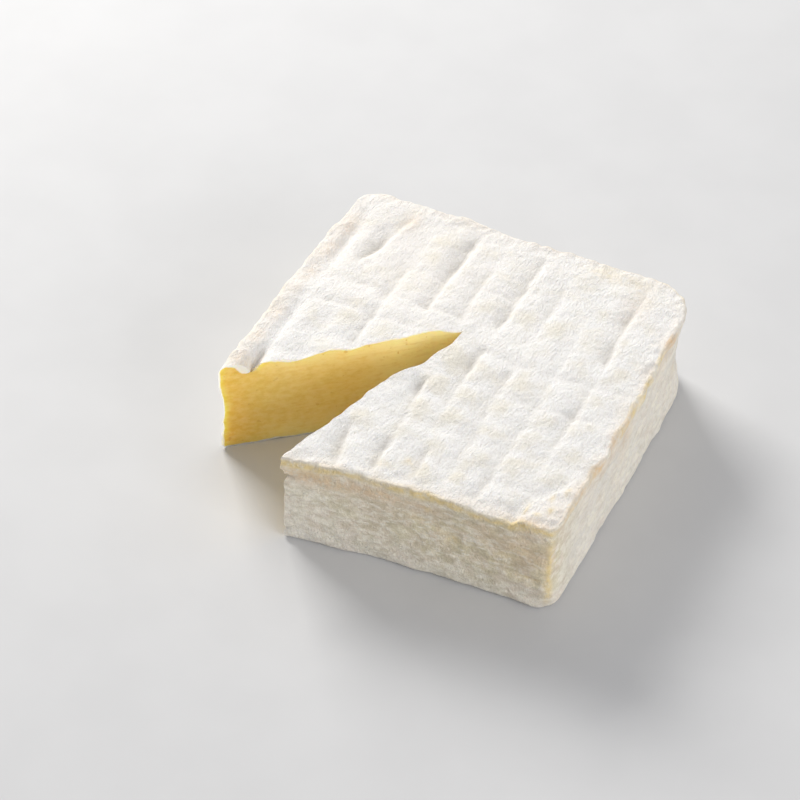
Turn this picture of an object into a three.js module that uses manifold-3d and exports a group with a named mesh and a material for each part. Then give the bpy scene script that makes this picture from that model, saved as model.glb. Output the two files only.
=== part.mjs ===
// A square soft-ripened cheese with one wedge cut out of it, from the middle to a corner.
// Millimetres, +Z up. The cheese stands on z = 0 with the middle of its bounding box at the origin.
// The front faces -Y. The wedge is missing from the corner at -X, -Y.

import * as THREE from "three";
import { mergeVertices } from "three/addons/utils/BufferGeometryUtils.js";
import Module from "manifold-3d";

// The cheese as it left its mould, before it was cut. Soft cheese slumps, so each side bows a little.
const THICKNESS = 30.8;
const EDGE_ROUND = 1.2; // the top and bottom edges

// The mould's corners, anticlockwise from the back left: where its sides would meet, how far from
// there the rounding starts, and how far the middle of the next side stands out (or in, if negative).
const corners = [
  { at: new THREE.Vector2(-53.2, 56.8), round: 9.6, nextSideBow: 1.3 },
  { at: new THREE.Vector2(-54.4, -62.1), round: 6.0, nextSideBow: -2.9 },
  { at: new THREE.Vector2(54.2, -51.7), round: 3.6, nextSideBow: 0.6 },
  { at: new THREE.Vector2(54.9, 54.1), round: 15.8, nextSideBow: -0.6 },
];

// The cut: two straight knife strokes that meet just behind the middle of the cheese.
const CUT_TIP = new THREE.Vector2(0.2, 10.2);
const CUT_LEFT_MOUTH = new THREE.Vector2(-55.2, -33.4); // where one stroke meets the left side
const CUT_FRONT_MOUTH = new THREE.Vector2(-23.3, -56.6); // where the other meets the front
const CUT_OVERRUN = 1.6; // the cutting prism's length, as a share of the strokes

// The point on a corner's side towards another corner, at the distance where the rounding starts.
function roundingStart(corner, towards) {
  return corner.at.clone().add(towards.at.clone().sub(corner.at).setLength(corner.round));
}

// A closed outline with bowed sides and rounded corners.
function mouldOutline() {
  const outline = new THREE.Shape();
  corners.forEach((corner, i) => {
    const before = corners[(i + 3) % 4];
    const after = corners[(i + 1) % 4];
    const arrive = roundingStart(corner, before);
    const leave = roundingStart(corner, after);
    if (i === 0) outline.moveTo(arrive.x, arrive.y);
    outline.quadraticCurveTo(corner.at.x, corner.at.y, leave.x, leave.y);
    const sideEnd = roundingStart(after, corner);
    const along = sideEnd.clone().sub(leave);
    const outward = new THREE.Vector2(along.y, -along.x).normalize();
    // The middle of a quadratic curve stands half as far out as its control point.
    const control = leave.clone().lerp(sideEnd, 0.5).addScaledVector(outward, 2 * corner.nextSideBow);
    outline.quadraticCurveTo(control.x, control.y, sideEnd.x, sideEnd.y);
  });
  return outline;
}

// The whole cheese, standing on z = 0 with rounded top and bottom edges.
function wholeCheese() {
  const geometry = new THREE.ExtrudeGeometry(mouldOutline(), {
    depth: THICKNESS - 2 * EDGE_ROUND,
    curveSegments: 8,
    bevelEnabled: true,
    bevelThickness: EDGE_ROUND,
    bevelSize: EDGE_ROUND,
    bevelOffset: -EDGE_ROUND,
    bevelSegments: 4,
  });
  return geometry.translate(0, 0, EDGE_ROUND);
}

// The wedge that the knife takes out: a prism taller than the cheese that runs on past its corner.
function wedge() {
  const mouthPoint = (mouth) => CUT_TIP.clone().lerp(mouth, CUT_OVERRUN);
  const outline = new THREE.Shape([CUT_TIP, mouthPoint(CUT_LEFT_MOUTH), mouthPoint(CUT_FRONT_MOUTH)]);
  const clearance = 5;
  const geometry = new THREE.ExtrudeGeometry(outline, {
    depth: THICKNESS + 2 * clearance,
    bevelEnabled: false,
  });
  return geometry.translate(0, 0, -clearance);
}

const wasm = await Module();
wasm.setup();

// A closed three.js geometry as a manifold-3d solid.
function solidOf(geometry) {
  const bare = geometry.clone().deleteAttribute("normal").deleteAttribute("uv");
  const merged = mergeVertices(bare, 1e-4);
  return new wasm.Manifold(
    new wasm.Mesh({
      numProp: 3,
      vertProperties: merged.attributes.position.array,
      triVerts: new Uint32Array(merged.index.array),
    }),
  );
}

// A manifold-3d solid as a three.js geometry.
function geometryOf(solid) {
  const mesh = solid.getMesh();
  const geometry = new THREE.BufferGeometry();
  geometry.setAttribute("position", new THREE.BufferAttribute(mesh.vertProperties, 3));
  geometry.setIndex(new THREE.BufferAttribute(mesh.triVerts, 1));
  geometry.computeVertexNormals();
  return geometry;
}

// The cheese is one piece: the rind grew on it and isn't a separate shell.
const cutCheese = geometryOf(solidOf(wholeCheese()).subtract(solidOf(wedge())));
cutCheese.computeBoundingBox();
const middle = cutCheese.boundingBox.getCenter(new THREE.Vector3());
cutCheese.translate(-middle.x, -middle.y, -cutCheese.boundingBox.min.z);

const rind = new THREE.MeshStandardMaterial({ color: 0xefeae0, roughness: 0.9, metalness: 0 });
const cheese = new THREE.Mesh(cutCheese, rind);
cheese.name = "cheese_wheel";

const part = new THREE.Group();
part.add(cheese);

export default part;
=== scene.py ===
import math

import bpy
import numpy as np
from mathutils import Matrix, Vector


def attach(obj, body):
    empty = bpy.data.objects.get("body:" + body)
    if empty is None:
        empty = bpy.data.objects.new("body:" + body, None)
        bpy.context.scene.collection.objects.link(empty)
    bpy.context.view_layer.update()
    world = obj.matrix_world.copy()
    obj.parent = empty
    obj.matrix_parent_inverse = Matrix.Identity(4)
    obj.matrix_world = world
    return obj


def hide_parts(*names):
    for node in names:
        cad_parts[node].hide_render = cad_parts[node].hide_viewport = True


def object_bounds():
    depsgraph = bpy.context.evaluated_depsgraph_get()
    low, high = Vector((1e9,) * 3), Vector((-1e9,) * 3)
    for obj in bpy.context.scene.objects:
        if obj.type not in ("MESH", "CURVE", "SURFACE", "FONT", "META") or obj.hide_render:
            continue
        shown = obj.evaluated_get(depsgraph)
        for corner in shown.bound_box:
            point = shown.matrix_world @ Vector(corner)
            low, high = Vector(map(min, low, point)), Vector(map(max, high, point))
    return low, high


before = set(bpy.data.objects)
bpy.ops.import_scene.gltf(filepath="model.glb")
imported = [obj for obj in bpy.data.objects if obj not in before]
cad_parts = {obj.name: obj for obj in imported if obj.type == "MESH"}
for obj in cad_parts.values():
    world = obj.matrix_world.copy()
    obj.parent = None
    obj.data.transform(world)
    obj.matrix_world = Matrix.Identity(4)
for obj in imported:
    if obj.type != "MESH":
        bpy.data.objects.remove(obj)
cad_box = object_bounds()

# ---------------------------------------------------------------------------------------------
# The cheese's plan. The curd drained in a square mould, so its sides run nearly straight, bow a
# little where the soft curd slumped, and meet in rounded corners. A knife has taken out one
# wedge, from just behind the middle to the front left corner. Lengths here are in millimetres.
# ---------------------------------------------------------------------------------------------
MM = 0.001
THICKNESS = (cad_box[1].z - cad_box[0].z) / MM
# The mould's corners, anticlockwise from the back left: where the sides would meet, how far from
# there the rounding starts, and how far the middle of the next side stands out, or in if negative.
MOULD_CORNERS = [
    ((-53.2, 57.0), 9.6, 1.3),
    ((-54.4, -61.9), 6.0, -2.9),
    ((54.2, -51.5), 3.6, 0.6),
    ((54.9, 54.3), 15.8, -0.6),
]
CORNER_POINTS, SIDE_POINTS = 60, 400
CUT_TIP = np.array([0.2, 10.4])
LEFT_MOUTH = np.array([-55.2, -33.2])
FRONT_MOUTH = np.array([-23.3, -56.4])


def near(value, middle, reach):
    """1 where the value is the middle, and falling smoothly towards 0 beyond its reach."""
    return np.exp(-(((value - middle) / reach) ** 2))


def quadratic(start, control, end, count):
    """Points along a quadratic curve, without its end."""
    t = np.linspace(0, 1, count, endpoint=False)[:, None]
    return (1 - t) ** 2 * start + 2 * t * (1 - t) * control + t**2 * end


def mould_outline():
    """The closed outline of the whole cheese, as closely spaced points."""
    at = [np.array(corner[0]) for corner in MOULD_CORNERS]

    def rounding_start(i, towards):
        step = at[towards % 4] - at[i % 4]
        return at[i % 4] + step / np.linalg.norm(step) * MOULD_CORNERS[i % 4][1]

    stretches = []
    for i in range(4):
        arrive, leave = rounding_start(i, i + 3), rounding_start(i, i + 1)
        side_end = rounding_start(i + 1, i)
        along = side_end - leave
        outward = np.array([along[1], -along[0]]) / np.linalg.norm(along)
        control = (leave + side_end) / 2 + outward * 2 * MOULD_CORNERS[i][2]
        stretches.append(quadratic(arrive, at[i], leave, CORNER_POINTS))
        stretches.append(quadratic(leave, control, side_end, SIDE_POINTS))
    return np.vstack(stretches)


outline = mould_outline()
closed_outline = np.vstack([outline, outline[:1]])
outline_runs = np.linalg.norm(np.diff(closed_outline, axis=0), axis=1)
outline_runs = np.concatenate([[0], np.cumsum(outline_runs)])
outline_length = outline_runs[-1]


def on_outline(run):
    """The point of the outline at a distance along it."""
    run = np.mod(run, outline_length)
    return np.stack([np.interp(run, outline_runs, closed_outline[:, k]) for k in (0, 1)], -1)


def outward_at(run):
    """The direction that points straight out of the outline there."""
    along = on_outline(run + 0.6) - on_outline(run - 0.6)
    outward = np.stack([along[..., 1], -along[..., 0]], -1)
    return outward / np.linalg.norm(along, axis=-1)[..., None]


AT_ONCE = 4000  # points measured together, so that the table of distances stays small


def from_outline(points):
    """How far in from the uncut cheese's side each point of the plan lies."""
    apart = [
        np.sqrt(((some[:, None, :] - outline[None]) ** 2).sum(-1).min(1))
        for some in np.array_split(points, max(1, len(points) // AT_ONCE))
    ]
    return np.concatenate(apart)


# The rim is one loop of columns, clockwise: left side, back, right side, front, then both cuts.
# Three four-sided areas fill it: left, back right and front right. They meet at the cut's tip, and
# neighbours share a row of points from there to the middle of the back or of the right side.
UP_LEFT, BACK_LEFT, BACK_RIGHT, DOWN_RIGHT = 84, 100, 120, 80
rim_stations = [
    LEFT_MOUTH,
    (-50.8, 54.7),  # back left corner
    (0.2, 55),  # middle of the back
    (51, 50.6),  # back right corner
    (55, 10.4),  # middle of the right side
    (53.3, -50.6),  # front right corner
    FRONT_MOUTH,
]
nearest = [np.argmin(np.linalg.norm(outline - station, axis=1)) for station in rim_stations]
station_runs = outline_runs[nearest]
stretch_counts = [UP_LEFT, BACK_LEFT, BACK_RIGHT, UP_LEFT, DOWN_RIGHT, BACK_RIGHT]
rind_runs = []
for start, end, count in zip(station_runs, station_runs[1:], stretch_counts):
    rind_runs.append(start - (start - end) % outline_length * np.arange(count) / count)
rind_runs = np.concatenate(rind_runs + [[station_runs[-1]]])
RIND_COLUMNS = len(rind_runs)  # the last one is the front mouth's edge
station_columns = np.concatenate([[0], np.cumsum(stretch_counts)])

rim = on_outline(rind_runs)
inward = -outward_at(rind_runs)
# At a mouth the rounded edge has to run along the cut, so there the inward direction leans to it.
LEAN_REACH = 14
for mouth in (0, RIND_COLUMNS - 1):
    cut_way = (CUT_TIP - rim[mouth]) / np.linalg.norm(CUT_TIP - rim[mouth])
    lean = cut_way / (cut_way @ inward[mouth]) - inward[mouth]
    away = np.linalg.norm(rim - rim[mouth], axis=1)
    inward = inward + lean * np.clip(1 - away / LEAN_REACH, 0, 1)[:, None]

# The two cuts: the front one from its mouth to the tip, and the left one back out. The knife
# wandered in the front one, and a little in the left one near the tip.
to_tip = np.arange(1, DOWN_RIGHT + 1) / DOWN_RIGHT
wander = 1.9 * near(to_tip, 0.88, 0.08) + 1.8 * near(to_tip, 0.74, 0.08)
wander -= 1.0 * near(to_tip, 0.5, 0.2)
wander -= wander[-1] * to_tip**6
front_cut = CUT_TIP - rim[-1]
aside_front = np.array([front_cut[1], -front_cut[0]]) / np.linalg.norm(front_cut)
straight_cut = rim[-1] + to_tip[:, None] * front_cut
front_cut_rim = straight_cut + wander[:, None] * aside_front
front_cut_inward = inward[-1] * (1 - to_tip)[:, None]
to_mouth = np.arange(1, BACK_LEFT) / BACK_LEFT
left_cut = rim[0] - CUT_TIP
along_left = to_mouth * np.linalg.norm(left_cut)
left_wander = 1.2 * near(along_left, 9, 6) * np.clip(along_left / 4, 0, 1)
aside_left = np.array([left_cut[1], -left_cut[0]]) / np.linalg.norm(left_cut)
left_cut_rim = CUT_TIP + to_mouth[:, None] * left_cut + left_wander[:, None] * aside_left
left_cut_inward = inward[0] * to_mouth[:, None]

rim = np.vstack([rim, front_cut_rim, left_cut_rim])
inward = np.vstack([inward, front_cut_inward, left_cut_inward])
COLUMNS = len(rim)
TIP_COLUMN = RIND_COLUMNS - 1 + DOWN_RIGHT


# ---------------------------------------------------------------------------------------------
# The mat's imprint. The fresh cheese drains on a woven mat, first one way up and then the other,
# and the mat's strands press a grid of low pillows into both of its faces. They lean: each rises
# steeply behind and on its left, and falls away gently to the next.
# ---------------------------------------------------------------------------------------------
LATTICE_SIZE = 32
LATTICE = np.random.default_rng(11).uniform(-1, 1, (LATTICE_SIZE,) * 3)


def lumps(points, size, pattern):
    """Smooth lumps of about this size, from -1 to 1. Each pattern number gives other lumps."""
    points = np.asarray(points, float)
    if points.shape[-1] == 2:
        points = np.concatenate([points, np.zeros_like(points[..., :1])], -1)
    scaled = points / size + 7.3 * pattern
    cell = np.floor(scaled).astype(int)
    t = scaled - cell
    t = t * t * (3 - 2 * t)
    total = 0
    for corner in np.ndindex(2, 2, 2):
        weight = np.prod(np.where(corner, t, 1 - t), -1)
        i = np.mod(cell + corner, LATTICE_SIZE)
        total = total + weight * LATTICE[i[..., 0], i[..., 1], i[..., 2]]
    return total


def rise(value, low, high):
    """0 up to low, 1 from high, and smooth between."""
    t = np.clip((value - low) / (high - low), 0, 1)
    return t * t * (3 - 2 * t)


def blobs(points, spots):
    """The sum of soft-edged spots, each with a place, a size each way and a strength."""
    total = np.zeros(points.shape[:-1])
    for centre, size, strength in spots:
        offset = (points - np.array(centre)) / np.array(size)
        total = total + strength * np.exp(-(offset**2).sum(-1))
    return total


# Where the mat's strands lay, and where a strand pressed deeper than the rest: its place, the
# stretch of the cheese it runs over, its depth, and how far aside it runs in each millimetre.
STRANDS_X = [-58, -47.3, -37, -25.4, -13, -3, 8.8, 19.5, 30.3, 41.6, 51.5, 60]
STRANDS_Y = [-61, -50.5, -40, -28.5, -18, -8.7, 4.6, 15.2, 28, 37.8, 48, 59]
DEEP_ALONG_Y = [
    (-36.4, 25, 51, 1.2, 0.28),
    (-25.6, 12, 27, 0.7, 0.0),
    (-25.8, -8, 9, 0.7, 0.0),
    (-13.0, 14, 55, 1.7, 0.02),
    (-3.0, 15, 36, 0.7, 0.0),
    (8.8, 14, 50, 1.15, 0.0),
    (8.6, -19, 6, 1.0, 0.0),
    (19.2, 25, 38, 0.8, 0.0),
    (19.2, -19, 3, 0.6, 0.0),
    (20.0, -51, -21, 0.4, 0.0),
    (30.6, -53, -38, 0.9, 0.0),
    (30.6, -38, -6, 0.4, 0.0),
    (41.2, 14, 50, 1.0, 0.0),
    (41.4, -30, 4, 0.65, 0.0),
    (42.4, -50, -36, 0.5, 0.0),
    (0.3, -54, -12, 1.7, -0.045),
    (-10.1, -56, -37, 1.6, -0.16),
    (10.8, -52, -36, 1.0, 0.0),
]
DEEP_ALONG_X = [
    (15.4, -38, -2, 0.45),
    (-8.7, 4, 53, 0.28),
    (4.6, -44, 50, 0.28),
    (28, -44, 8, 0.3),
]


def hump(place, lines, lean):
    """Low humps between neighbouring lines: 0 on a line, 1 on a crown that leans to the first."""
    lines = np.array(lines, float)
    i = np.clip(np.searchsorted(lines, place) - 1, 0, len(lines) - 2)
    share = np.clip((place - lines[i]) / (lines[i + 1] - lines[i]), 0, 1)
    return np.sin(np.pi * share**lean) ** 1.3


def crease(offset, gentle, steep):
    """A valley's depth across it, from 1 on its line to 0: gentle where offset is negative."""
    return np.exp(-((offset / np.where(offset < 0, gentle, steep)) ** 2))


def print_of_mat(plan):
    """The imprint's height, how far each point is up a pillow, and its painted crease shade."""
    # The strands lay a little crooked.
    x = plan[:, 0] + 0.9 * lumps(plan, 17, 1) + 0.55 * lumps(plan, 5.2, 2)
    x = x + 0.25 * lumps(plan, 2.4, 21)
    y = plan[:, 1] + 1.3 * lumps(plan, 19, 3) + 0.75 * lumps(plan, 5.2, 4)
    y = y + 0.3 * lumps(plan, 2.4, 22)
    along = hump(x, STRANDS_X, 0.7)
    across = hump(-y, [-strand for strand in reversed(STRANDS_Y)], 0.8)
    parted = np.clip(0.58 + 0.45 * lumps(plan, 12, 13) - 0.3 * rise(y, 2, 20), 0.1, 1)
    furrowed = np.clip(0.55 + 0.5 * lumps(plan, 11, 24), 0.1, 1)
    mound = (1 - furrowed * (1 - along)) * (1 - parted * (1 - across))
    crown = np.clip(along * across, 0, 1) ** 0.8
    crown = crown * np.clip(0.55 + 1.1 * lumps(plan, 9, 25), 0, 1.2)
    crown = crown * (1 - 0.4 * rise(y, 6, 20))
    height = (0.60 + 0.28 * lumps(plan, 14, 5) - 0.14 * rise(y, 0, 20)) * mound
    # Painted shade: the valleys between pillows are darkened a little, the deep creases more.
    shade = 0.1 * (1 - mound)
    fading = np.clip(0.9 + 0.45 * lumps(plan, 7, 27), 0.45, 1.2)
    for at, low, high, depth, lean in DEEP_ALONG_Y:
        stretch = rise(y, low - 3, low + 3) * (1 - rise(y, high - 3, high + 3))
        offset = x - at - lean * (y - (low + high) / 2)
        height = height - depth * crease(offset, 2.9, 1.25) * stretch * fading
        shade = shade + 0.85 * min(depth, 1.2) * crease(offset, 1.5, 0.8) * stretch * fading
    for at, low, high, depth in DEEP_ALONG_X:
        stretch = rise(x, low - 4, low + 4) * (1 - rise(x, high - 4, high + 4))
        line = crease(at - y, 1.9, 0.7) * stretch * np.clip(0.6 + lumps(plan, 9, 23), 0, 1.2)
        height = height - depth * line
        shade = shade + 0.5 * depth * line
    return height, crown, shade


def crumbs(points):
    """The white felt's own unevenness, which is finer than the mat's."""
    coarse = 0.17 * lumps(points, 4.4, 8) + 0.15 * lumps(points, 2.3, 9)
    return coarse + 0.12 * lumps(points, 1.4, 10)


# Broad swells of the top, and the groove that a folded strand left beside the left rim: where,
# how far they reach along x and y, and how high they stand.
SWELLS = [
    ((-47.3, -27), (1.6, 9), -2.7),
    ((-47.2, -5), (1.6, 8), -1.0),
    ((-47.0, 31), (1.8, 10), -1.0),
    ((-51.7, -26), (2.6, 9), 1.0),
    ((-43.0, -23), (2.0, 4), 0.5),
    ((-37.0, -19), (2.2, 5), -0.45),
    ((-30.5, -13), (2.6, 4), 0.3),
    ((-51.5, 4), (2.4, 6), 0.4),
    ((-51.2, 26), (2.4, 9), 0.5),
    ((-39.0, -19), (8, 14), -0.9),
    ((-10.0, 4), (12, 14), 0.8),
    ((1.5, 9.5), (6, 5), -0.9),
    ((-43.0, 50), (12, 7), 0.5),
    ((6.0, 52), (22, 5), 0.35),
    ((49.0, 48), (9, 10), 0.3),
    ((-24.6, -8.5), (1.5, 2.8), -0.8),
    ((-16.0, -2.0), (3.0, 3.0), 0.3),
]


def top_height(plan):
    """The top's height, how far each point is up a pillow, and its painted crease shade."""
    height, crown, shade = print_of_mat(plan)
    inside = from_outline(plan)
    x, y = plan.T
    # The imprint stops well short of the rim at the left and back, and just short of it elsewhere.
    ragged = 1.8 * lumps(plan, 8, 14)
    reach = rise(x + ragged, -49, -41) * rise(ragged - y, -53, -44) * rise(ragged - x, -54.5, -51)
    from_corner = np.hypot(x - 57, y - 57)
    reach = reach * rise(from_corner + ragged, 11, 18) * rise(inside + ragged, 0.3, 4.5)
    # A flap of rind stands up at the front right corner, with a hollow beside it. Its edge runs
    # from (42, -51.5) through (45, -42) and on towards the right side.
    past_front = ((x - 42) * 0.954 - (y + 51.5) * 0.301) - 0.9 * lumps(plan, 4.5, 15)
    past_side = ((x - 45) * 0.876 - (y + 42) * 0.484) - 0.9 * lumps(plan, 4.5, 15)
    to_flap = np.minimum(past_front, past_side)
    at_corner = rise(-y, 27, 36)
    on_flap = at_corner * rise(to_flap, 0, 1.5)
    hollow = at_corner * near(to_flap, -1.0, 1.9)
    # The felt is roughest along the rim and on the flap.
    rough = crumbs(plan) * (1 + 1.1 * rise(-inside, -7, -2) + 1.5 * on_flap)
    swell = blobs(plan, SWELLS) + 0.3 * lumps(plan, 26, 6) + 0.2 * lumps(plan, 9, 7)
    swell = swell + 0.35 * lumps(plan, 6, 26) * rise(-inside, -6, -1)
    reach = reach * (1 - on_flap)
    height = THICKNESS - 0.1 + height * reach + rough + swell + 0.75 * on_flap - 0.55 * hollow
    return height, crown * reach, shade * reach


def underside_height(plan):
    """The underside's height: the same mat, pressed flat again by the cheese's own weight."""
    height, crown, shade = print_of_mat(plan * (1, -1) + (2, 5))
    reach = rise(from_outline(plan) + 1.5 * lumps(plan, 8, 14), 2, 10)
    sunk = (0.5 - height) * 0.4 * reach + 0.6 * crumbs(plan) * reach
    return np.clip(sunk, 0, 0.8), crown * reach, 0.6 * shade * reach


# ---------------------------------------------------------------------------------------------
# The sides. The curd sank against the mould's wall, so a side has a slight waist, creases where
# the skin folded, and a lip where it meets the top. The knife tore a nick at the front mouth.
# ---------------------------------------------------------------------------------------------
# How round the top's and the foot's edge are at each of the rim's stations.
LIP_ROUND = [2.9, 1.2, 1.1, 1.1, 1.1, 1.0, 0.8]
FOOT_ROUND = [1.4, 1.6, 1.3, 1.6, 1.3, 2.4, 1.2]
# Dents and ridges: where, how far they reach along x, y and z, and how far out they stand.
DENTS = [
    ((25.3, -52.3, 15.6), (2.6, 4, 2.4), -0.6),
    ((28.4, -52.2, 13.6), (1.0, 4, 2.4), 0.5),
    ((26.0, -52.2, 9.6), (2.8, 4, 0.7), 0.5),
    ((18.0, -52.4, 8.2), (4.0, 4, 0.7), 0.5),
    ((20.0, -52.4, 17.6), (3.4, 4, 0.7), 0.35),
    ((-6.0, -55.0, 6.0), (4.0, 4, 0.7), 0.4),
    ((15.0, -52.6, 23.0), (4.0, 4, 2.5), -0.5),
    ((48.0, -52.2, 10.4), (4.5, 5, 0.8), -0.9),
    ((47.0, -52.2, 8.4), (5.0, 5, 0.9), 0.5),
    ((-16.0, -56.2, 24.0), (5.0, 4, 2.0), -0.5),
    ((-23.2, -56.4, 22.6), (2.6, 3, 0.75), -1.5),
    ((-23.0, -56.4, 27.5), (2.4, 3, 3.0), 0.5),
    ((-23.2, -56.4, 3.2), (1.6, 3, 0.6), -1.2),
    ((53.4, -50.8, 20.0), (0.7, 0.7, 9.0), 0.5),
    ((53.6, -51.0, 1.5), (3.0, 3.0, 2.6), -0.9),
    ((55.0, -12.0, 19.0), (5, 9, 3.0), -0.6),
    ((55.2, 13.0, 28.0), (5, 2.4, 2.4), -1.0),
    ((55.2, -2.0, 24.0), (5, 4.0, 3.0), -0.6),
    ((55.2, 29.0, 27.0), (5, 4.0, 2.5), -0.7),
    ((54.5, -34.0, 9.0), (5, 7, 2.5), -0.5),
    ((55.5, 46.0, 15.0), (6, 9, 7.0), -1.2),
    ((-55.0, 8.0, 15.0), (5, 8, 3.5), -0.6),
    ((-20.0, 55.6, 12.0), (9, 5, 3.0), -0.6),
    ((-5.0, 55.6, 29.0), (6, 5, 4.0), -0.7),
    ((18.0, 55.6, 20.0), (7, 5, 2.0), -0.5),
]


def side_bulge(points):
    """How far out from the plan's outline the skin of a side stands."""
    z = points[..., 2]
    waist = -0.9 * np.sin(np.pi * np.clip(z / THICKNESS, 0, 1)) ** 2
    waves = 0.4 * lumps(points, 24, 9) + 0.28 * lumps(points, 8, 10)
    folds = 0.36 * lumps(points * (0.8, 0.8, 1.7), 4.4, 11)
    folds = folds + 0.2 * lumps(points * (1, 1, 1.4), 2.3, 12)
    ragged = 0.38 * lumps(points, 6.5, 16) + 0.32 * lumps(points, 2.6, 17)
    even_left = 1 - 0.5 * rise(-points[..., 0], 45, 52)
    ragged = ragged * even_left * near(z, THICKNESS, 3.2)
    return waist + waves + folds + 0.07 * lumps(points, 1.3, 18) + ragged + blobs(points, DENTS)


LIP_STEPS, SIDE_STEPS, FOOT_STEPS = 6, 38, 5
lip_turn = np.linspace(0, np.pi / 2, LIP_STEPS + 1)[:, None]
foot_turn = np.linspace(np.pi / 2, 0, FOOT_STEPS + 1)[:, None]


def around_rim(at_stations):
    """A value given at the rim's stations, spread over every column. The cuts carry it on."""
    rind = np.interp(np.arange(RIND_COLUMNS), station_columns, at_stations)
    cuts = np.linspace(rind[-1], rind[0], COLUMNS - RIND_COLUMNS + 2)[1:-1]
    return np.concatenate([rind, cuts])


lip_round, foot_round = around_rim(LIP_ROUND), around_rim(FOOT_ROUND)
shoulder = rim + inward * lip_round[:, None]
rim_top = top_height(shoulder)[0]
rim_foot = underside_height(rim + inward * foot_round[:, None])[0]

side_share = np.linspace(0, 1, SIDE_STEPS + 1)[1:-1, None]
wall_top, wall_foot = rim_top - lip_round, rim_foot + foot_round
levels = np.vstack([
    rim_top - lip_round * (1 - np.cos(lip_turn)),
    wall_top + (wall_foot - wall_top) * side_share,
    rim_foot + foot_round * (1 - np.cos(foot_turn)),
])
insets = np.vstack([
    lip_round * (1 - np.sin(lip_turn)),
    np.zeros((SIDE_STEPS - 1, COLUMNS)),
    foot_round * (1 - np.sin(foot_turn)),
])
ROWS = len(levels)

skin = np.concatenate([np.broadcast_to(rim, (ROWS, COLUMNS, 2)), levels[..., None]], -1)
bulge = side_bulge(skin)
# The cuts don't bulge. Their columns move along the cut to stay with the skin at its mouth, and
# less and less towards the tip.
bulge[:, RIND_COLUMNS:TIP_COLUMN] = bulge[:, RIND_COLUMNS - 1 : RIND_COLUMNS]
bulge[:, TIP_COLUMN:] = bulge[:, :1]
side_plan = rim + inward * (insets - bulge)[..., None]
# The knife crumbled the rind a little along the top of the front cut.
crumbling = 0.4 * lumps(skin, 2.6, 32) * near(levels, rim_top, 1.5)
crumbling[:, :RIND_COLUMNS] = 0
crumbling[:, TIP_COLUMN - 3 :] = 0
side_plan = side_plan + crumbling[..., None] * aside_front
side_points = np.concatenate([side_plan, levels[..., None]], -1)
# Painted shade: the sides are darkened in their dents, and the edge rows take the top's and
# underside's painted crease shade.
side_painted_shade = np.clip(-0.9 * blobs(side_points, DENTS), 0, 1)
side_crown = np.zeros((ROWS, COLUMNS))
side_points[0, :, 2], side_crown[0], side_painted_shade[0] = top_height(side_plan[0])
side_points[-1, :, 2], side_crown[-1], side_painted_shade[-1] = underside_height(side_plan[-1])


# ---------------------------------------------------------------------------------------------
# The cheese as one closed skin: the sides and cuts as rows of the rim's columns, and the top and
# underside as the three areas that fill the loop.
# ---------------------------------------------------------------------------------------------
points = [side_points.reshape(-1, 3)]
crowns, crease_shades = [side_crown.reshape(-1)], [side_painted_shade.reshape(-1)]
faces, face_is_paste = [], []


def add_points(plan, height_of):
    """Adds points of the plan at their heights, and returns their numbers."""
    first = sum(len(some) for some in points)
    height, crown, shade = height_of(plan)
    points.append(np.column_stack([plan, height]))
    crowns.append(crown)
    crease_shades.append(shade)
    return np.arange(first, first + len(plan))


def add_faces(grid, flip=False, paste=False):
    """Four-sided faces between neighbouring points of a grid of point numbers."""
    corners = [grid[:-1, :-1], grid[:-1, 1:], grid[1:, 1:], grid[1:, :-1]]
    made = np.stack(corners[::-1] if flip else corners, -1).reshape(-1, 4)
    faces.append(made)
    face_is_paste.append(np.broadcast_to(paste, grid[1:, 1:].shape).reshape(-1))


def fill(front, back, left, right, height_of, flip):
    """Fills the area between four rows of points, which run left to right and front to back."""
    plan = np.vstack(points)[:, :2]
    u = np.linspace(0, 1, len(front))[None, :, None]
    v = np.linspace(0, 1, len(left))[:, None, None]
    between = (1 - v) * plan[front] + v * plan[back] + (1 - u) * plan[left][:, None]
    between = between + u * plan[right][:, None]
    ends = (1 - v) * ((1 - u) * plan[front[0]] + u * plan[front[-1]])
    ends = ends + v * ((1 - u) * plan[back[0]] + u * plan[back[-1]])
    area = (between - ends)[1:-1, 1:-1].reshape(-1, 2)
    grid = np.zeros((len(left), len(front)), int)
    grid[0], grid[-1], grid[:, 0], grid[:, -1] = front, back, left, right
    grid[1:-1, 1:-1] = add_points(area, height_of).reshape(len(left) - 2, -1)
    add_faces(grid, flip)


def fill_face(loop, height_of, flip):
    """Fills the top or the underside, inside a loop that has one point for each rim column."""
    ends = list(station_columns[1:]) + [TIP_COLUMN]
    stretches = [loop[start : end + 1] for start, end in zip(station_columns, ends)]
    left, back_left, back_right, right_back, right_front, front, front_cut_row = stretches
    left_cut_row = np.concatenate([loop[TIP_COLUMN:], loop[:1]])[::-1]
    tip = loop[TIP_COLUMN]

    def row_from_tip(end, count):
        plan = np.vstack(points)[[tip, end], :2]
        share = np.linspace(0, 1, count + 1)[1:-1, None]
        way = plan[0] + share * (plan[1] - plan[0])
        return np.concatenate([[tip], add_points(way, height_of), [end]])

    to_back = row_from_tip(back_left[-1], UP_LEFT)
    to_right = row_from_tip(right_back[-1], BACK_RIGHT)
    fill(left_cut_row, back_left, left, to_back, height_of, flip)
    fill(to_right, back_right, to_back, right_back[::-1], height_of, flip)
    fill(front[::-1], to_right, front_cut_row, right_front[::-1], height_of, flip)


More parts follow.
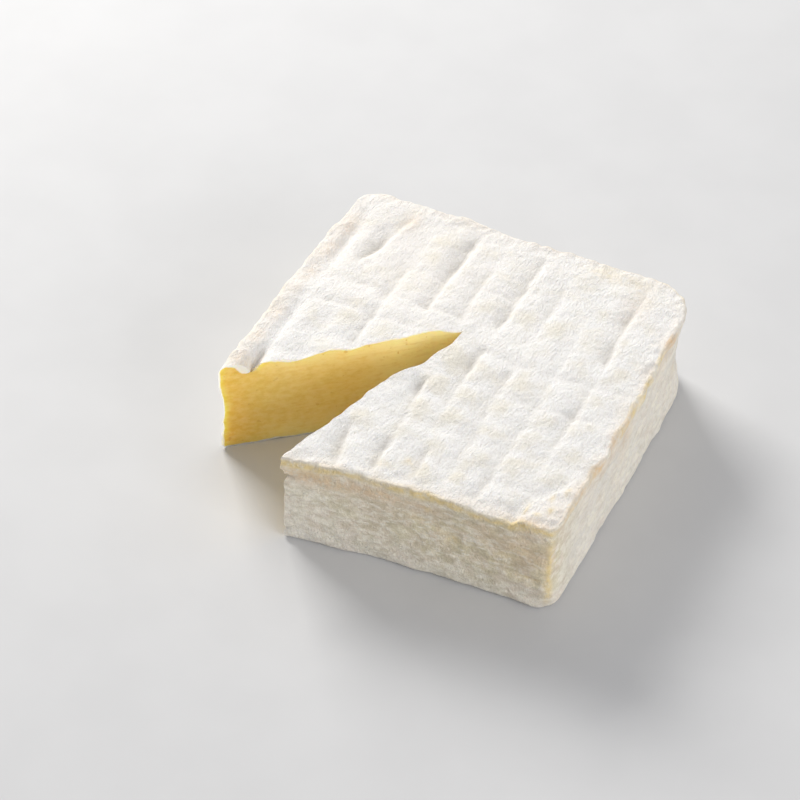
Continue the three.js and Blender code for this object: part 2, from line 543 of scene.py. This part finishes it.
side_grid = np.arange(ROWS * COLUMNS).reshape(ROWS, COLUMNS)
side_loop = np.column_stack([side_grid, side_grid[:, 0]])
add_faces(side_loop, paste=np.arange(COLUMNS) >= RIND_COLUMNS - 1)
fill_face(side_grid[0], top_height, False)
fill_face(side_grid[-1], underside_height, True)
points, faces, face_is_paste = np.vstack(points), np.vstack(faces), np.concatenate(face_is_paste)
crowns, crease_shades = np.concatenate(crowns), np.concatenate(crease_shades)

skin_mesh = bpy.data.meshes.new("cheese")
skin_mesh.vertices.add(len(points))
skin_mesh.vertices.foreach_set("co", (points * MM).astype(np.float32).ravel())
skin_mesh.loops.add(faces.size)
skin_mesh.loops.foreach_set("vertex_index", faces.astype(np.int32).ravel())
skin_mesh.polygons.add(len(faces))
skin_mesh.polygons.foreach_set("loop_start", np.arange(0, faces.size, 4, dtype=np.int32))
skin_mesh.polygons.foreach_set("material_index", face_is_paste.astype(np.int32))
skin_mesh.update(calc_edges=True)
skin_mesh.validate()
skin_mesh.shade_smooth()

# The knife left sharp edges wherever paste meets rind, and where the two cuts meet.
edge_ends = np.zeros(len(skin_mesh.edges) * 2, np.int32)
skin_mesh.edges.foreach_get("vertices", edge_ends)
border = np.zeros(len(points), bool)
border[side_grid[[0, -1], RIND_COLUMNS - 1 :]] = True
border[side_grid[[0, -1], 0]] = True
border[side_grid[:, [0, RIND_COLUMNS - 1]]] = True
tip_line = np.zeros(len(points), bool)
tip_line[side_grid[:, TIP_COLUMN]] = True
edge_ends = edge_ends.reshape(-1, 2)
sharp = border[edge_ends].all(1) | tip_line[edge_ends].all(1)
skin_mesh.attributes.new("sharp_edge", "BOOLEAN", "EDGE").data.foreach_set("value", sharp)

cheese = bpy.data.objects.new("cheese", skin_mesh)
bpy.context.scene.collection.objects.link(cheese)
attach(cheese, "root")
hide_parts("cheese_wheel")


# ---------------------------------------------------------------------------------------------
# The rind. A white mould grows over the paste as a dry, matt felt. It is thinnest on the sides,
# where the skin shows through in ivory, and worn to gold or pink where the cheese was handled.
# Shade is painted into it too: in its creases, dents and pinholes, at the back left of the top,
# and along the front, which darkens towards its right end.
# ---------------------------------------------------------------------------------------------
# Where the top's edge is worn to gold or pink skin: its middle in plan, its reach and strength.
GOLD_LIP = [
    ((-2, -54.2), 24.0, 0.55),
    ((32, -52), 20.0, 0.5),
    ((-21, -56.6), 3.5, 0.6),
    ((-14, -55.5), 4.5, 0.7),
    ((-7, -54.6), 3.0, 0.5),
    ((10, -52.9), 3.0, 0.5),
    ((17, -52.4), 4.0, 0.9),
    ((24, -52.1), 3.0, 0.5),
    ((43, -51.8), 4.0, 0.9),
    ((51, -51.6), 2.6, 0.7),
    ((55.2, 13), 3.0, 1.2),
    ((55.2, 8), 2.5, 1.0),
    ((55.0, 24), 3.0, 0.8),
    ((55.2, 2), 3.0, 0.9),
    ((55.2, -6), 4.0, 0.5),
    ((55.0, -27), 4.0, 0.25),
    ((54.6, -40), 3.0, 0.2),
    ((28, 54.6), 8.0, 0.3),
    ((48, 52.4), 5.0, 0.6),
]
PINK_LIP = [
    ((55.2, -3), 4.0, 0.9),
    ((55.2, -12), 4.0, 0.8),
    ((55.1, -23), 4.0, 0.7),
    ((54.8, -34), 4.0, 0.6),
    ((54.5, -43), 3.5, 0.6),
    ((55.0, 31), 4.0, 1.0),
    ((-55.0, 0), 34.0, 0.4),
    ((15, 55), 30.0, 0.25),
]
# Stains elsewhere: where, how far they reach along x, y and z, and how strong they are.
GOLD_STAINS = [
    ((25.2, -52.4, 15.8), (1.9, 3, 1.9), 0.9),
    ((23.0, -52.4, 18.0), (2.5, 3, 2.0), 0.4),
    ((14.5, -52.6, 20.5), (2.5, 3, 1.5), 0.35),
    ((18.0, -52.4, 25.0), (1.2, 3, 1.2), 0.4),
    ((48.0, -52.0, 10.6), (4.5, 4, 0.7), 0.8),
    ((43.5, -51.8, 30.0), (4.0, 1.6, 1.6), 0.75),
    ((53.0, -50.5, 15), (1.0, 1.0, 12), 1.2),
    ((-16.0, -56.0, 26.3), (7, 4, 1.8), 0.35),
    ((55.0, 40.0, 13), (3, 2, 2.0), 0.4),
    ((28.0, 50.0, 31.0), (7, 3.5, 3), 0.3),
    ((38.0, 50.0, 31.0), (4, 3, 3), 0.2),
    ((8.5, -43.0, 30.5), (1.4, 1.4, 3), 0.5),
    ((3.0, -47.0, 30.5), (1.6, 1.2, 3), 0.35),
    ((44.0, -46.6, 31.5), (0.5, 2.2, 3), 0.6),
    ((47.4, -47.5, 31.5), (1.0, 0.7, 3), 0.8),
    ((50.0, -44.5, 31.5), (0.7, 1.3, 3), 0.7),
    ((48.6, -40.0, 31.5), (0.6, 1.5, 3), 0.6),
    ((51.5, -36.0, 31.5), (0.7, 1.6, 3), 0.6),
]
PINK_STAINS_AND_SHADE = [
    ((-14.0, -56.0, 25.0), (12, 4, 3.2), 1.0),
    ((5.0, -53.6, 25.5), (10, 4, 2.4), 0.75),
    ((18.0, -52.4, 24.5), (5, 4, 3.0), 0.35),
    # Painted shade: this spot darkens the front's right end.
    ((46.0, -52.0, 20.0), (9, 4, 7.0), 0.5),
    ((33.0, -52.0, 24.0), (6, 4, 3.0), 0.3),
    ((55.0, -2.0, 22.0), (3, 4, 6.0), 0.45),
    ((55.0, -20.0, 26.0), (3, 16, 3.0), 0.3),
    ((55.0, 26.0, 26.0), (3, 9, 3.0), 0.3),
    ((-51.2, -27, 31.0), (2.2, 4.4, 3), 0.4),
    ((-51.5, -16, 31.0), (2.2, 4.2, 3), 0.35),
    ((-51.0, -5, 31.0), (2.2, 4.8, 3), 0.32),
    ((-50.8, 6, 31.0), (2.2, 3.6, 3), 0.16),
    ((-50.6, 15, 31.0), (2.4, 4.4, 3), 0.3),
    ((-50.0, 26, 31.0), (2.4, 4.6, 3), 0.34),
    ((-49.2, 38, 31.0), (2.4, 5.6, 3), 0.36),
    ((-47.0, -27, 29.0), (1.6, 6.0, 3), 0.4),
    ((-33.0, 47.0, 31.0), (2.4, 4.0, 3), 0.35),
    ((47.5, -51.3, 31.0), (5.0, 2.0, 3), 0.5),
    ((41.0, 40.0, 31.0), (5, 9, 3), 0.2),
]
# Where the mould is thinnest on the sides, so that the ivory skin shows: the front most of all.
# The front's spot sits towards its right end, so the front also darkens that way: painted shade.
BARE_AND_SHADED_SIDES = [
    ((38, -52, 18), (62, 12, 15), 1.1),
    ((-55, 10, 14), (12, 40, 20), 0.3),
    ((0, 56, 14), (50, 12, 20), 0.3),
    ((55, 10, 14), (4, 70, 30), 0.12),
]


def lip_wear(worn):
    """How far the top's edge is worn, as a value for each point of the sides."""
    strength = blobs(rim, worn)
    strength[RIND_COLUMNS:] = 0
    broken = 0.8 + 0.5 * lumps(side_points, 2.2, 19)
    below_lip = side_points[0, :, 2] - lip_round - side_points[..., 2]
    at_front = rise(-rim[:, 1], 40, 50)
    sag = 0.1 + 0.4 * lumps(rim, 5, 31) + at_front * (0.4 + 0.6 * rise(-rim[:, 0], 0, 20))
    width = 1.0 + 0.3 * rise(rim[:, 0], 50, 54) * rise(rim[:, 1], -50, -44)
    return 1.5 * strength * broken * near(below_lip, sag, width)


def stained(stains, worn):
    """How strongly one colour of stain and wear shows at each point, from 0 to 1."""
    stain = blobs(points, stains)
    stain[side_grid] += lip_wear(worn)
    return np.clip(stain, 0, 1)


def rubbed():
    """How warm the rubbed rim of the top is at each point: most at its edge, and in patches."""
    warm = np.zeros(len(points))
    high = points[:, 2] > THICKNESS - 5
    upper = points[high]
    patches = 0.6 + 0.8 * lumps(upper, 6.5, 28) + 0.4 * lumps(upper, 2.6, 29)
    paler = 1 - 0.5 * rise(upper[:, 1], 20, 45) * rise(upper[:, 0], -20, 10)
    warm[high] = paler * np.clip(patches, 0, 1.2) * near(from_outline(upper[:, :2]), 0, 3.4)
    warm = warm + blobs(points, [((50, -46, THICKNESS), (5, 7, 5), 0.6)])
    warm[side_grid[:, RIND_COLUMNS:]] = 0
    return np.clip(warm, 0, 1)


def paint(name, values):
    """Keeps a value for each point of the skin, for the finishes to use as a mask."""
    mask = skin_mesh.attributes.new(name, "FLOAT", "POINT")
    mask.data.foreach_set("value", values.astype(np.float32))


flank = np.zeros(len(points))
edge_round = np.where(levels > THICKNESS / 2, lip_round, foot_round)
flank[side_grid] = np.clip(1 - insets / edge_round, 0, 1)
flank[side_grid[:, RIND_COLUMNS:]] = 0
paint("flank", flank)
paint("bare_and_shaded", flank * np.clip(blobs(points, BARE_AND_SHADED_SIDES), 0, 1))
paint("crown", np.clip(crowns, 0, 1))
# Painted shade of the creases, valleys and dents.
paint("crease", np.clip(crease_shades, 0, 1))
paint("gold_stain", stained(GOLD_STAINS, GOLD_LIP))
paint("pink_stain_and_shade", stained(PINK_STAINS_AND_SHADE, PINK_LIP))
paint("rubbed", rubbed())
# At the back left the mould grew thickest, so its felt is smoother there. There the top's white
# is also darker: painted shade, for the shade that rougher felt would cast.
paint("downy_and_shaded", blobs(points, [((-26, 34, 30), (36, 32, 60), 1.0)]))


class Wire:
    """A shader socket that can stand in a Python expression, which then adds its nodes."""

    def __init__(self, tree, socket=None):
        self.tree, self.socket = tree, socket

    def node(self, kind, settings=None, inputs=None, output=0):
        """Adds a node of a kind, with its settings and its sockets' values or links."""
        made = self.tree.nodes.new("ShaderNode" + kind)
        for name, value in (settings or {}).items():
            setattr(made, name, value)
        for name, value in (inputs or {}).items():
            if isinstance(value, Wire):
                self.tree.links.new(value.socket, made.inputs[name])
            else:
                made.inputs[name].default_value = value
        return Wire(self.tree, made.outputs[output]) if made.outputs else None

    def calculate(self, operation, first, second):
        kind = "VectorMath" if self.socket.type == "VECTOR" else "Math"
        return self.node(kind, {"operation": operation}, {0: first, 1: second})

    def __add__(self, other):
        return self.calculate("ADD", self, other)

    def __sub__(self, other):
        return self.calculate("SUBTRACT", self, other)

    def __rsub__(self, other):
        return self.calculate("SUBTRACT", other, self)

    def __mul__(self, other):
        return self.calculate("MULTIPLY", self, other)

    __radd__, __rmul__ = __add__, __mul__

    def over(self, low, high):
        """0 where this is below low, 1 where it is above high, and smooth between."""
        limits = {"Value": self, "From Min": low, "From Max": high}
        return self.node("MapRange", {"interpolation_type": "SMOOTHSTEP"}, limits)

    def blend(self, first, second):
        """The first colour where this is 0, the second where it is 1."""
        # A mix of colours has its two inputs at 6 and 7, and its output at 2.
        colours = {0: self, 6: first, 7: second}
        return self.node("Mix", {"data_type": "RGBA"}, colours, 2)

    def mask(self, name):
        """A painted value of the skin."""
        return self.node("Attribute", {"attribute_name": name}, output="Fac")

    def millimetres(self, stretch=(1, 1, 1)):
        """The place on the cheese, in millimetres, divided by stretch each way."""
        place = self.node("TexCoord", output="Object")
        return place * tuple(1 / MM / s for s in stretch)

    def noise(self, place, size, detail=2.0, roughness=0.5, distortion=0.0):
        """Noise from 0 to 1, with lumps about this many millimetres across."""
        sockets = {"Vector": place, "Scale": 1 / size, "Detail": detail}
        sockets.update({"Roughness": roughness, "Distortion": distortion})
        return self.node("TexNoise", None, sockets)


def finish_with(name, sockets_of):
    """A material from a function that takes its first wire and returns the shader's sockets."""
    material = bpy.data.materials.new(name)
    material.use_nodes = True
    material.node_tree.nodes.clear()
    wire = Wire(material.node_tree)
    surface = wire.node("BsdfPrincipled", None, sockets_of(wire))
    wire.node("OutputMaterial", None, {"Surface": surface})
    return material


MOULD_WHITE = (0.915, 0.90, 0.88, 1)
SHADED_DOWNY_WHITE = (0.865, 0.832, 0.795, 1)
CROWN_CREAM = (0.84, 0.79, 0.68, 1)
RIM_CREAM = (0.87, 0.79, 0.695, 1)
# The grey of the threads on the crowns, and the painted shade of the felt's pinholes.
WEAVE_GREY_AND_PINHOLE_SHADE = (0.62, 0.58, 0.50, 1)
# Painted shade for the creases, valleys and dents.
CREASE_SHADE_GREY = (0.66, 0.62, 0.56, 1)
SIDE_WHITE = (0.885, 0.85, 0.79, 1)
SIDE_BLUSH = (0.85, 0.78, 0.70, 1)
SIDE_IVORY = (0.84, 0.76, 0.54, 1)
SIDE_ROSE = (0.84, 0.72, 0.56, 1)
SIDE_SHADE = (0.57, 0.50, 0.34, 1)
SIDE_TUFT = (0.94, 0.885, 0.75, 1)
WORN_GOLD = (0.87, 0.69, 0.35, 1)
WORN_PINK_AND_SHADE = (0.80, 0.59, 0.375, 1)


def rind_finish(wire):
    place = wire.millimetres()
    side, bare_and_shaded, crown, hollow = [wire.mask(name) for name in ("flank", "bare_and_shaded", "crown", "crease")]
    gold, pink, rubbed_rim = [wire.mask(name) for name in ("gold_stain", "pink_stain_and_shade", "rubbed")]
    downy_and_shaded = wire.mask("downy_and_shaded")
    combed = wire.millimetres((0.8, 1.5, 1))
    felt = wire.noise(combed, 0.75, 3, 0.7)
    dots = wire.noise(combed, 0.9, 1, 0.5)
    weave = wire.noise(wire.millimetres((0.7, 1.8, 2)), 1, 3, 0.6)
    blotches = wire.noise(place, 5.5, 4, 0.55)
    patches = wire.noise(wire.millimetres((1.5, 1.5, 1)), 4.2, 3, 0.5)
    streaks = wire.noise(wire.millimetres((2.2, 2.2, 1)), 1.5, 4, 0.6, 0.3)
    crumbled = wire.noise(place, 1.3, 3, 0.6)
    hairs = wire.noise(wire.millimetres((1.6, 1.6, 0.7)), 3.0, 2, 0.5, 0.8)
    hairs = hairs.over(0.475, 0.50) - hairs.over(0.50, 0.525)
    broad = wire.noise(wire.millimetres((1.3, 1.3, 1)), 8.5, 2, 0.5)

    matted = (crown + blotches * 2.4).over(1.15, 2.3)
    # Painted shade: the top's white is darker at the back left.
    top = (matted * 0.75).blend(downy_and_shaded.blend(MOULD_WHITE, SHADED_DOWNY_WHITE), CROWN_CREAM)
    top = (crown * (1 - weave.over(0.34, 0.50)) * 0.35).blend(top, WEAVE_GREY_AND_PINHOLE_SHADE)
    # Painted shade: the felt's pinholes, where its grain is sunk, are darkened.
    pinhole_shade = (1 - felt.over(0.36, 0.52)) * 0.24 + (1 - dots.over(0.20, 0.30)) * 0.4
    top = pinhole_shade.blend(top, WEAVE_GREY_AND_PINHOLE_SHADE)
    top = (rubbed_rim * 0.8).blend(top, RIM_CREAM)

    skin = blotches.over(0.42, 0.58).blend(SIDE_IVORY, SIDE_ROSE)
    # Where the mould is thin the ivory shows; the mask also darkens the front towards its right
    # end as painted shade.
    skin = bare_and_shaded.blend(blotches.over(0.42, 0.70).blend(SIDE_WHITE, SIDE_BLUSH), skin)
    skin = ((1 - broad.over(0.40, 0.60)) * (0.04 + 0.24 * bare_and_shaded)).blend(skin, SIDE_SHADE)
    skin = ((1 - patches.over(0.34, 0.54)) * (0.08 + 0.34 * bare_and_shaded)).blend(skin, SIDE_SHADE)
    skin = ((1 - streaks.over(0.32, 0.52)) * (0.20 + 0.36 * bare_and_shaded)).blend(skin, SIDE_SHADE)
    tufts = streaks.over(0.48, 0.62) * 0.8 + hairs * crumbled.over(0.4, 0.6) * 0.6
    skin = tufts.blend(skin, SIDE_TUFT)
    skin = ((1 - crumbled.over(0.34, 0.50)) * (0.18 + 0.22 * bare_and_shaded)).blend(skin, SIDE_SHADE)

    colour = side.blend(top, skin)
    # Painted shade: darker in the creases, the valleys between pillows and the sides' dents.
    colour = (hollow * 0.6).blend(colour, CREASE_SHADE_GREY)
    wear = wire.noise(place, 1.6, 3, 0.6).over(0.32, 0.56)
    # Pink wear, and at the front's right end painted shade.
    colour = (pink * (0.35 + 0.65 * wear)).blend(colour, WORN_PINK_AND_SHADE)
    colour = (gold * (0.4 + 0.6 * wear)).blend(colour, WORN_GOLD)

    grain = (felt * 0.6 + dots * 0.35) * (0.96 - 0.44 * downy_and_shaded) * (1 - side * 0.35)
    grain = grain + crown * weave * 0.3
    fibres = side * (streaks * 0.45 + hairs * 0.06)
    relief = grain + fibres + (side * 0.15 + rubbed_rim * 0.55) * crumbled
    bump = wire.node("Bump", None, {"Strength": 1.0, "Distance": MM, "Height": relief})
    return {
        "Base Color": colour,
        "Roughness": 0.8 + 0.12 * felt,
        "Normal": bump,
        "Subsurface Weight": 0.06,
        "Subsurface Radius": (1.0, 0.8, 0.55),
        "Subsurface Scale": MM,
        "Specular IOR Level": 0.25,
        "Sheen Weight": 0.12,
        "Sheen Roughness": 0.6,
    }


skin_mesh.materials.append(finish_with("rind", rind_finish))

# ---------------------------------------------------------------------------------------------
# The paste. Ripening works inwards from the rind, so the paste is soft and golden next to it and
# paler towards the middle. At the cut's tip the paleness is also painted light, as the narrow
# notch lets little light in. The knife left it smooth and moist, with faint drag marks.
# ---------------------------------------------------------------------------------------------
PASTE_YELLOW = (0.95, 0.765, 0.31, 1)
PASTE_GOLD = (0.86, 0.645, 0.20, 1)
PASTE_RICH = (0.83, 0.58, 0.09, 1)
# A deeper gold for dull patches and drag marks, and the painted shade of the pits.
PASTE_DEEP_AND_PIT_SHADE = (0.74, 0.49, 0.11, 1)
# A pale cream for mottling, and painted light at the cut's tip.
PASTE_PALE_AND_PAINTED_LIGHT = (1.0, 0.84, 0.43, 1)

cut_grid = side_grid[:, RIND_COLUMNS:]
cut_points = side_points[:, RIND_COLUMNS:]
cut_plan = cut_points[..., :2].reshape(-1, 2)
from_side, under_rind = np.zeros((2, len(points)))
from_side[cut_grid] = from_outline(cut_plan).reshape(ROWS, -1)
below_top = cut_points[0, :, 2] - cut_points[..., 2]
above_foot = cut_points[..., 2] - cut_points[-1, :, 2]
under_rind[cut_grid] = np.minimum(below_top, above_foot)
paint("under_rind", np.minimum(under_rind, from_side))
paint("from_side", from_side)


def paste_finish(wire):
    place = wire.millimetres()
    depth, from_skin = wire.mask("under_rind"), wire.mask("from_side")
    cloud = wire.noise(place, 9, 2)
    drag = wire.noise(wire.millimetres((9, 9, 1)), 0.8, 2)
    ripened = (depth + 4 * cloud).over(2, 10)
    colour = ripened.blend(PASTE_YELLOW, PASTE_GOLD)
    colour = (from_skin + 4 * cloud).over(4, 20).blend(PASTE_RICH, colour)
    # Paler towards the cut's tip: partly the paste's own paling, partly painted light in the
    # narrow notch.
    colour = (from_skin + 8 * cloud).over(30, 50).blend(colour, PASTE_PALE_AND_PAINTED_LIGHT)
    mottle = wire.noise(wire.millimetres((1.6, 1.6, 1)), 1.6, 4, 0.65)
    colour = (mottle.over(0.35, 0.7) * 0.36).blend(colour, PASTE_PALE_AND_PAINTED_LIGHT)
    dull = (1 - mottle.over(0.30, 0.50)) * 0.22 + drag.over(0.5, 0.75) * 0.22
    colour = dull.blend(colour, PASTE_DEEP_AND_PIT_SHADE)
    shaded_pits = wire.noise(place, 1.7, 1).over(0.70, 0.78)
    # Painted shade: the sunk pits are darkened.
    colour = (shaded_pits * 0.6).blend(colour, PASTE_DEEP_AND_PIT_SHADE)
    colour = (depth + 0.5 * wire.noise(place, 1.5)).over(0.55, 0.95).blend(MOULD_WHITE, colour)
    relief = drag * 0.08 - shaded_pits * 0.25 + cloud * 0.3 + mottle * 0.2
    bump = wire.node("Bump", None, {"Strength": 0.6, "Distance": MM, "Height": relief})
    return {
        "Base Color": colour,
        "Roughness": 0.36 + 0.2 * drag,
        "Normal": bump,
        "Subsurface Weight": 0.6,
        "Subsurface Radius": (1.0, 0.78, 0.32),
        "Subsurface Scale": 5 * MM,
    }


skin_mesh.materials.append(finish_with("paste", paste_finish))

# ---------------------------------------------------------------------------------------------
# The studio: a plain pale floor, one wide soft light above and behind to the left, a weaker one
# from the right, and a camera that looks down on the cheese from the front right.
# ---------------------------------------------------------------------------------------------
FLOOR_GREY = (0.62, 0.62, 0.625, 1)
FLOOR_PALE = (0.66, 0.66, 0.665, 1)
floor_mesh = bpy.data.meshes.new("floor")
floor_mesh.from_pydata([(-3, -3, 0), (3, -3, 0), (3, 3, 0), (-3, 3, 0)], [], [(0, 1, 2, 3)])
floor = bpy.data.objects.new("floor", floor_mesh)
bpy.context.scene.collection.objects.link(floor)


def floor_finish(wire):
    grain = wire.noise(wire.millimetres(), 30, 3)
    colour = (grain.over(0.3, 0.7) * 0.5).blend(FLOOR_GREY, FLOOR_PALE)
    return {"Base Color": colour, "Roughness": 0.75}


floor_mesh.materials.append(finish_with("floor", floor_finish))


def soft_light(name, place, width, watts, colour):
    """A wide lamp that points at the cheese."""
    light = bpy.data.lights.new(name, "AREA")
    light.shape, light.size, light.size_y = "RECTANGLE", width[0], width[1]
    light.energy, light.color = watts, colour
    lamp = bpy.data.objects.new(name, light)
    lamp.location = place
    lamp.rotation_euler = (-Vector(place)).to_track_quat("-Z", "Y").to_euler()
    bpy.context.scene.collection.objects.link(lamp)


soft_light("key", (-0.90, 0.64, 0.68), (0.65, 0.5), 18.6, (1.0, 0.985, 0.955))
soft_light("fill", (1.15, -0.42, 0.5), (0.8, 0.6), 7.4, (0.99, 0.99, 1.0))

world = bpy.data.worlds.new("studio")
world.use_nodes = True
background = world.node_tree.nodes["Background"]
background.inputs["Color"].default_value = (0.965, 0.97, 0.99, 1)
background.inputs["Strength"].default_value = 0.46
bpy.context.scene.world = world

AZIMUTH, ELEVATION = math.radians(25.42), math.radians(43.69)
CAMERA_DISTANCE = 0.7061
FOCAL_LENGTH, SENSOR_WIDTH = 112.5, 36
looks_at = Vector((-0.01075, -0.00814, 0.0154))
back = Vector((
    math.sin(AZIMUTH) * math.cos(ELEVATION),
    -math.cos(AZIMUTH) * math.cos(ELEVATION),
    math.sin(ELEVATION),
))
lens = bpy.data.cameras.new("camera")
lens.lens, lens.sensor_width = FOCAL_LENGTH, SENSOR_WIDTH
lens.clip_start, lens.clip_end = 0.05, 20
camera = bpy.data.objects.new("camera", lens)
camera.location = looks_at + back * CAMERA_DISTANCE
camera.rotation_euler = (-back).to_track_quat("-Z", "Y").to_euler()
bpy.context.scene.collection.objects.link(camera)
bpy.context.scene.camera = camera
bpy.context.scene.view_settings.view_transform = "Standard"
